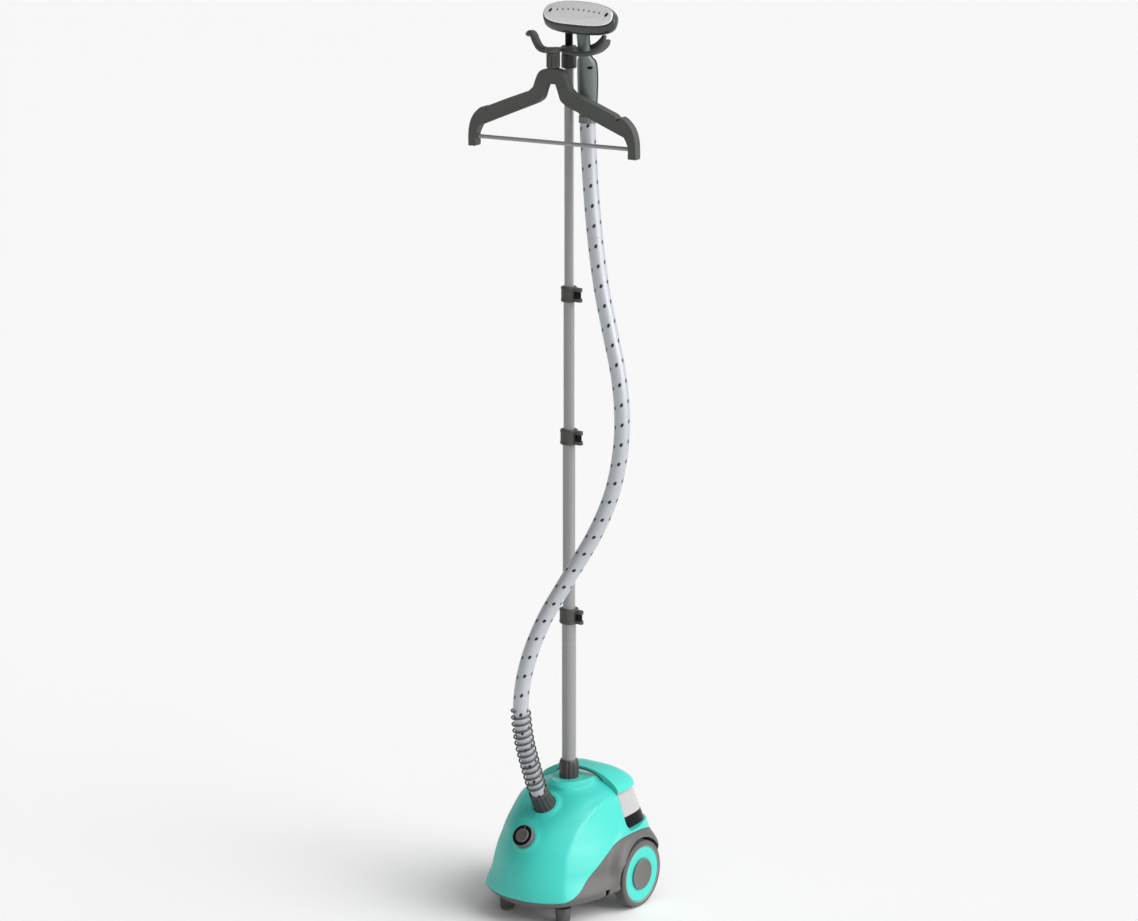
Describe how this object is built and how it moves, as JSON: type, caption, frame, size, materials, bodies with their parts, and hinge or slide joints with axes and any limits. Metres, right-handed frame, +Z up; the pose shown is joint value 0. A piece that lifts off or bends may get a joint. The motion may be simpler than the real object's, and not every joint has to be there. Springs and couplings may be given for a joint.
{
  "type": "garment steamer",
  "caption": "Upright garment steamer: wheeled egg-shaped boiler base with lift-out tank, telescopic pole with flip locks, swivel hanger, and a steam head on a braided hose.",
  "frame": {"origin": "centre of the base's footprint on the floor, below the middle of the bounding box", "axes": "+Z up along the pole, -Y towards the front with the dial, +X to the object's left-hand side as it faces forward"},
  "size_m": [0.32, 0.298, 1.6057],
  "materials": {
    "mint": "semi-gloss moulded plastic",
    "warm_grey": "satin moulded plastic",
    "dark_grey": "satin moulded plastic",
    "handset_grey": "satin moulded plastic",
    "black": "satin",
    "tyre": "soft moulded rubber",
    "clear": "clear moulded tank wall",
    "chrome": "polished tube",
    "steel": "plain steel",
    "plate": "fine satin",
    "cast": "as cast",
    "brass": "turned",
    "silicone": "matte silicone",
    "braid": "silver textile braid with dark flecks"
  },
  "bodies": {
    "base": {"base_tray": "warm_grey", "main_shell": "mint", "front_foot_left": "dark_grey", "front_foot_right": "dark_grey", "rear_axle": "steel", "pole_socket": "dark_grey", "pole_tube_1": "chrome", "clamp_1": "dark_grey", "lever_pin_1": "steel", "hose_collar": "dark_grey", "dial_switch": "black", "boiler_body": "cast", "boiler_lid": "cast", "heater_element": "steel", "thermostat": "steel", "feed_tube": "silicone", "steam_tube": "silicone", "valve_seat": "black", "drain_plug": "black", "cord_gland": "black", "base_screw_left": "steel", "base_screw_right": "steel", "hose_guard": "black", "steam_hose_lower": "braid"},
    "wheel_left": {"tyre_left": "tyre", "wheel_disc_left": "mint", "hub_cap_left": "warm_grey"},
    "wheel_right": {"tyre_right": "tyre", "wheel_disc_right": "mint", "hub_cap_right": "warm_grey"},
    "dial": {"dial_knob": "warm_grey", "dial_ring": "black", "dial_cap": "warm_grey"},
    "tank": {"tank_top": "mint", "tank_window": "clear", "tank_base": "black", "tank_cap": "dark_grey"},
    "tank_valve": {"valve_plunger": "brass"},
    "lever_1": {"lever_1": "black"},
    "lever_2": {"lever_2": "black"},
    "lever_3": {"lever_3": "black"},
    "pole_2": {"pole_tube_2": "chrome", "clamp_2": "dark_grey", "lever_pin_2": "steel"},
    "pole_3": {"pole_tube_3": "chrome", "clamp_3": "dark_grey", "lever_pin_3": "steel"},
    "pole_head": {"pole_tube_4": "chrome", "holder": "dark_grey", "top_knob": "black", "hanger_barrel": "dark_grey", "steam_hose_upper": "braid"},
    "hanger": {"hanger": "dark_grey", "hanger_bar": "chrome"},
    "handset": {"steam_plate": "plate", "head_housing": "handset_grey", "handle_front": "handset_grey", "handle_back": "black", "steam_pipe": "silicone", "hose_coupling": "dark_grey"}
  },
  "joints": [
    {"name": "wheel_left_spin", "type": "hinge", "parent": "base", "child": "wheel_left", "pos_m": [0, 0.059, 0.06], "axis": [1, 0, 0], "continuous": true},
    {"name": "wheel_right_spin", "type": "hinge", "parent": "base", "child": "wheel_right", "pos_m": [0, 0.059, 0.06], "axis": [1, 0, 0], "continuous": true},
    {"name": "dial_turn", "type": "hinge", "parent": "base", "child": "dial", "pos_m": [0, -0.11633, 0.154], "axis": [0, -0.8107, 0.5855], "range_deg": [0, 270]},
    {"name": "tank_lift", "type": "slide", "parent": "base", "child": "tank", "axis": [0, 0, 1], "range_m": [0, 0.12]},
    {"name": "valve_press", "type": "slide", "parent": "tank", "child": "tank_valve", "axis": [0, 0, 1], "range_m": [0, 0.003], "stiffness_N_per_m": 100},
    {"name": "pole_height", "type": "slide", "parent": "base", "child": "pole_head", "axis": [0, 0, 1], "range_m": [-0.6, 0], "deforming": ["steam_hose_lower"]},
    {"name": "pole_2_slide", "type": "slide", "parent": "base", "child": "pole_2", "axis": [0, 0, 1], "range_m": [-0.2, 0]},
    {"name": "pole_3_slide", "type": "slide", "parent": "base", "child": "pole_3", "axis": [0, 0, 1], "range_m": [-0.4, 0]},
    {"name": "hanger_swivel", "type": "hinge", "parent": "pole_head", "child": "hanger", "pos_m": [0, -0.03, 1.505], "axis": [0, 0, 1], "range_deg": [-55, 0]},
    {"name": "handset_pull", "type": "slide", "parent": "pole_head", "child": "handset", "axis": [1, 0, 0], "range_m": [0, 0.08], "deforming": ["steam_hose_upper"]},
    {"name": "lever_1_flip", "type": "hinge", "parent": "base", "child": "lever_1", "pos_m": [0.0235, 0.016, 0.527], "axis": [0, 0, 1], "range_deg": [-90, 0]},
    {"name": "lever_2_flip", "type": "hinge", "parent": "pole_2", "child": "lever_2", "pos_m": [0.022, 0.016, 0.849], "axis": [0, 0, 1], "range_deg": [-90, 0]},
    {"name": "lever_3_flip", "type": "hinge", "parent": "pole_3", "child": "lever_3", "pos_m": [0.0205, 0.016, 1.1], "axis": [0, 0, 1], "range_deg": [-90, 0]}
  ],
  "couplings": [
    {"joint": "pole_2_slide", "follows": "pole_height", "ratio": 0.33333},
    {"joint": "pole_3_slide", "follows": "pole_height", "ratio": 0.66667}
  ]
}
